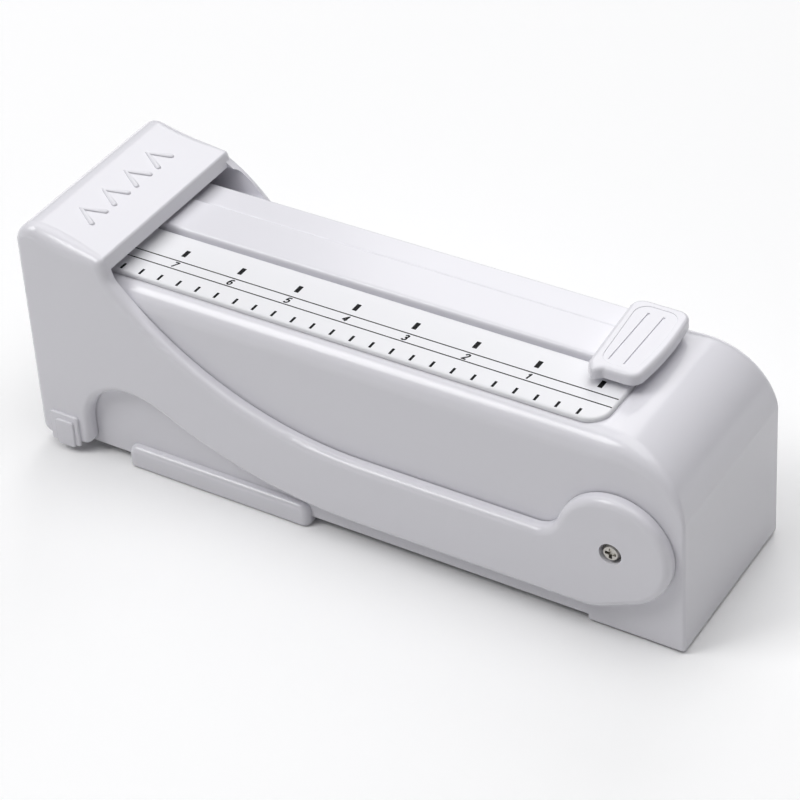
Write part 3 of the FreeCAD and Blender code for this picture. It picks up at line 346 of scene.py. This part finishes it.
def softBlock(name, size, rounding):
    # small block with rounded upright edges, standing on z = 0
    shape = bmesh.new()
    bmesh.ops.create_cube(shape, size=1)
    bmesh.ops.scale(shape, vec=size, verts=shape.verts)
    bmesh.ops.translate(shape, vec=(0, 0, size[2] / 2), verts=shape.verts)
    if rounding:
        uprights = [e for e in shape.edges if abs(e.verts[0].co.z - e.verts[1].co.z) > size[2] / 2]
        bmesh.ops.bevel(
            shape, geom=uprights, offset=rounding, segments=blockRoundSteps, affect="EDGES", profile=0.5
        )
    mesh = bpy.data.meshes.new(name)
    shape.to_mesh(mesh)
    shape.free()
    return meshObject(name, mesh)


# printed scale: two rows of marks, two ruled lines and plain numbers between them

scalePrint = {
    "inkThickness": 0.03 * mm,
    "start": 55.47 * mm,
    "coarse": {"count": 8, "pitch": 15.081 * mm, "y": -7.4 * mm, "size": (1.1 * mm, 2.5 * mm)},
    "fine": {"count": 24, "pitch": 5.027 * mm, "y": -17.75 * mm, "size": (0.62 * mm, 2.1 * mm)},
    "markRound": 0.06 * mm,
    "lines": {"y": (-10.5 * mm, -13.6 * mm), "width": 0.31 * mm, "endInset": 0.5 * mm},
    "numbers": {
        "height": 1.85 * mm,
        "stroke": 0.44 * mm,
        "turn": 0.09 * mm,
        "slant": 0.22,
        "middle": 0.36,
        "y": -12.97 * mm,
    },
}
# pen strokes of each number, in shares of its height
numberStrokes = {
    1: [(0.12, 0.76), (0.36, 1), (0.36, 0)],
    2: [
        (0.04, 0.74), (0.1, 0.92), (0.3, 1), (0.5, 0.92), (0.55, 0.73), (0.44, 0.52), (0.02, 0), (0.58, 0),
    ],
    3: [
        (0.05, 0.84), (0.28, 1), (0.5, 0.9), (0.5, 0.65), (0.26, 0.54), (0.54, 0.4), (0.54, 0.12),
        (0.28, 0), (0.02, 0.14),
    ],
    4: [(0.42, 0), (0.42, 1), (0, 0.3), (0.6, 0.3)],
    5: [
        (0.54, 1), (0.14, 1), (0.07, 0.52), (0.3, 0.63), (0.52, 0.52), (0.56, 0.3), (0.48, 0.08),
        (0.26, 0), (0.02, 0.14),
    ],
    6: [
        (0.54, 0.86), (0.32, 1), (0.12, 0.86), (0.03, 0.5), (0.08, 0.14), (0.3, 0), (0.52, 0.12),
        (0.55, 0.36), (0.42, 0.57), (0.2, 0.56), (0.04, 0.36),
    ],
    7: [(0.02, 1), (0.58, 1), (0.22, 0)],
}
plateLow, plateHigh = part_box("scale_plate")
inkZ = plateHigh.z
ink = plastics["blackInk"]


def markRow(name, row):
    size = (*row["size"], scalePrint["inkThickness"])
    shape = softBlock(name + "Shape", size, scalePrint["markRound"])
    first = (scalePrint["start"], row["y"], inkZ)
    return copiesInRow(name, shape, row["count"], first, (-row["pitch"], 0, 0), ink)


def ruledLines():
    lines = scalePrint["lines"]
    front, rear = plateLow.x + lines["endInset"], plateHigh.x - lines["endInset"]
    shape = softBlock("ruledLineShape", (rear - front, lines["width"], scalePrint["inkThickness"]), 0)
    first = ((front + rear) / 2, lines["y"][0], inkZ)
    step = (0, lines["y"][1] - lines["y"][0], 0)
    return copiesInRow("ruled_lines", shape, len(lines["y"]), first, step, ink)


strokeRoundSteps = 6


def strokeMesh(path, halfWidth, rise):
    # round bar along the path, flattened to its rise
    curve = bpy.data.curves.new("stroke", "CURVE")
    curve.dimensions = "3D"
    spline = curve.splines.new("POLY")
    spline.points.add(len(path) - 1)
    for point, (place, radius) in zip(spline.points, path):
        point.co = (*place, 1)
        point.radius = radius
    curve.bevel_depth = halfWidth
    curve.bevel_resolution = strokeRoundSteps
    curve.use_fill_caps = path[0][1] > 0
    holder = meshObject("stroke", curve)
    mesh = evaluatedMesh(holder)
    bpy.data.objects.remove(holder)
    mesh.transform(Matrix.Diagonal((1, 1, rise / halfWidth, 1)))
    return mesh


def numberMesh(count, spot):
    look = scalePrint["numbers"]
    corners = []
    for x, y in numberStrokes[count]:
        corners.append(Vector((x - look["middle"] + y * look["slant"], y, 0)) * look["height"])
    places = [corners[0]]
    for before, corner, after in zip(corners, corners[1:], corners[2:]):
        # points close to each corner keep the stroke's full width along its straights
        turnIn = (before - corner).normalized() * look["turn"]
        turnOut = (after - corner).normalized() * look["turn"]
        places += [corner + turnIn, corner, corner + turnOut]
    places.append(corners[-1])
    mesh = strokeMesh([(place, 1) for place in places], look["stroke"] / 2, scalePrint["inkThickness"])
    mesh.transform(Matrix.Translation(spot))
    return mesh


def printedNumbers():
    row, look = scalePrint["coarse"], scalePrint["numbers"]
    joined = bmesh.new()
    for count in range(1, row["count"]):
        spot = (scalePrint["start"] - count * row["pitch"], look["y"], inkZ)
        joined.from_mesh(numberMesh(count, spot))
    mesh = bpy.data.meshes.new("scale_numbers")
    joined.to_mesh(mesh)
    joined.free()
    mesh.materials.clear()
    mesh.materials.append(ink)
    return meshObject("scale_numbers", mesh)


for piece in (
    markRow("coarse_marks", scalePrint["coarse"]),
    markRow("fine_marks", scalePrint["fine"]),
    ruledLines(),
    printedNumbers(),
):
    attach(piece, "body")
print("scale printed")


# raised chevrons on the press cap

capChevrons = {
    "count": 4,
    "pitch": 8.7 * mm,
    "centre": (-70.9 * mm, -0.6 * mm),
    "slope": math.radians(11),
    "capRearTop": 58.0 * mm,
    "capRear": -58.95 * mm,
    "halfWidth": 3.0 * mm,
    "depth": 5.4 * mm,
    "stroke": 0.7 * mm,
    "rise": 0.42 * mm,
    # way in from the tip and radius there, in shares of the stroke
    "roundEnd": [(0, 0), (0.13, 0.5), (0.5, 0.87), (1, 1)],
}


def chevronShape():
    # bent bar with a rounded top and round ends, open towards the rear
    look = capChevrons
    apex = Vector((-look["depth"] / 2, 0, 0))
    tips = [Vector((look["depth"] / 2, side * look["halfWidth"], 0)) for side in (-1, 1)]
    starts = []
    for tip in tips:
        inward = (apex - tip).normalized() * look["stroke"]
        starts.append([(tip + inward * share, radius) for share, radius in look["roundEnd"]])
    path = [*starts[0], (apex, 1), *starts[1][::-1]]
    mesh = strokeMesh(path, look["stroke"], look["rise"])
    return meshObject("chevronShape", mesh)


def chevronRow():
    look = capChevrons
    x, y = look["centre"]
    first = (0, y - look["pitch"] * (look["count"] - 1) / 2, 0)
    step = (0, look["pitch"], 0)
    row = copiesInRow("cap_chevrons", chevronShape(), look["count"], first, step, plastics["glossWhite"])
    z = look["capRearTop"] + (look["capRear"] - x) * math.tan(look["slope"])
    row.data.transform(Matrix.Translation((x, 0, z)) @ Matrix.Rotation(look["slope"], 4, "Y"))
    for polygon in row.data.polygons:
        polygon.use_smooth = True
    return row


chevrons = chevronRow()
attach(chevrons, "lever")
print("cap chevrons set")


# stage: pale floor, level light and the camera

studio = {
    "floorHalf": 4.0,
    "floorColour": (0.78, 0.78, 0.78),
    "floorSeen": (1.0, 1.0, 1.0),
    "worldColour": (0.98, 0.98, 1.0),
    "horizonStrength": 0.02,
    "skyStart": 0.7,
    "zenithStrength": 1.2,
    "keyPlace": (0.2, 0.3, 1.95),
    "keySize": 1.9,
    "keyPower": 15.0,
    "fillPlace": (-0.95, -0.88, 1.54),
    "fillSize": 0.8,
    "fillPower": 13.5,
    "panelPlace": (-0.5, 1.45, 1.29),
    "panelSize": 0.88,
    "panelPower": 6.0,
}


def makeFloor():
    half = studio["floorHalf"]
    mesh = bpy.data.meshes.new("floor")
    corners = [(-half, -half, 0), (half, -half, 0), (half, half, 0), (-half, half, 0)]
    mesh.from_pydata(corners, [], [(0, 1, 2, 3)])
    floor = meshObject("floor", mesh)
    material = bpy.data.materials.new("paleFloor")
    material.use_nodes = True
    tree = material.node_tree
    tree.nodes.remove(tree.nodes["Principled BSDF"])
    shader = addNode(tree, "ShaderNodeBsdfDiffuse")
    rays = addNode(tree, "ShaderNodeLightPath")
    seen = mathNode(tree, "MAXIMUM", rays.outputs["Is Camera Ray"], rays.outputs["Is Glossy Ray"])
    seen = mathNode(tree, "MAXIMUM", seen, rays.outputs["Is Transmission Ray"])
    tint = addNode(tree, "ShaderNodeMix", data_type="RGBA", clamp_factor=True)
    tint.inputs["A"].default_value = (*studio["floorColour"], 1)
    tint.inputs["B"].default_value = (*studio["floorSeen"], 1)
    link(tree, seen, tint.inputs["Factor"])
    link(tree, tint.outputs["Result"], shader.inputs["Color"])
    link(tree, shader.outputs["BSDF"], tree.nodes["Material Output"].inputs["Surface"])
    mesh.materials.append(material)


def makeWorld():
    # dim at the horizon and brighter overhead
    world = bpy.data.worlds.new("paleRoom")
    bpy.context.scene.world = world
    world.use_nodes = True
    tree = world.node_tree
    light = tree.nodes["Background"]
    light.inputs["Color"].default_value = (*studio["worldColour"], 1)
    way = addNode(tree, "ShaderNodeTexCoord")
    axes = addNode(tree, "ShaderNodeSeparateXYZ")
    rise = addNode(tree, "ShaderNodeMapRange")
    rise.inputs["From Min"].default_value = studio["skyStart"]
    rise.inputs["To Min"].default_value = studio["horizonStrength"]
    rise.inputs["To Max"].default_value = studio["zenithStrength"]
    link(tree, way.outputs["Generated"], axes.inputs["Vector"])
    link(tree, axes.outputs["Z"], rise.inputs["Value"])
    link(tree, rise.outputs["Result"], light.inputs["Strength"])


def makeSoftbox(name, place, size, power):
    lamp = bpy.data.lights.new(name, "AREA")
    lamp.shape = "SQUARE"
    lamp.size = size
    lamp.energy = power
    holder = bpy.data.objects.new(name, lamp)
    bpy.context.scene.collection.objects.link(holder)
    holder.location = place
    holder.rotation_euler = (-Vector(place)).to_track_quat("-Z", "Y").to_euler()


viewpoint = {
    "place": (0.27184, -0.42300, 0.40613),
    "azimuth": math.radians(32.70),
    "elevation": math.radians(37.29),
    "roll": math.radians(-3.13),
    "lens": 125.84,
    "sensorWidth": 36,
    "clip": (0.01, 20),
}


def makeCamera():
    data = bpy.data.cameras.new("photoCamera")
    data.lens = viewpoint["lens"]
    data.sensor_width = viewpoint["sensorWidth"]
    data.clip_start, data.clip_end = viewpoint["clip"]
    holder = bpy.data.objects.new("photoCamera", data)
    bpy.context.scene.collection.objects.link(holder)
    turn = Matrix.Rotation(viewpoint["azimuth"], 4, "Z")
    tilt = Matrix.Rotation(math.pi / 2 - viewpoint["elevation"], 4, "X")
    roll = Matrix.Rotation(viewpoint["roll"], 4, "Z")
    holder.matrix_world = Matrix.Translation(viewpoint["place"]) @ turn @ tilt @ roll
    bpy.context.scene.camera = holder


makeFloor()
makeWorld()
makeSoftbox("overheadSoftbox", studio["keyPlace"], studio["keySize"], studio["keyPower"])
makeSoftbox("frontFill", studio["fillPlace"], studio["fillSize"], studio["fillPower"])
makeSoftbox("backPanel", studio["panelPlace"], studio["panelSize"], studio["panelPower"])
makeCamera()
bpy.context.scene.view_settings.view_transform = "Standard"
print("stage set")
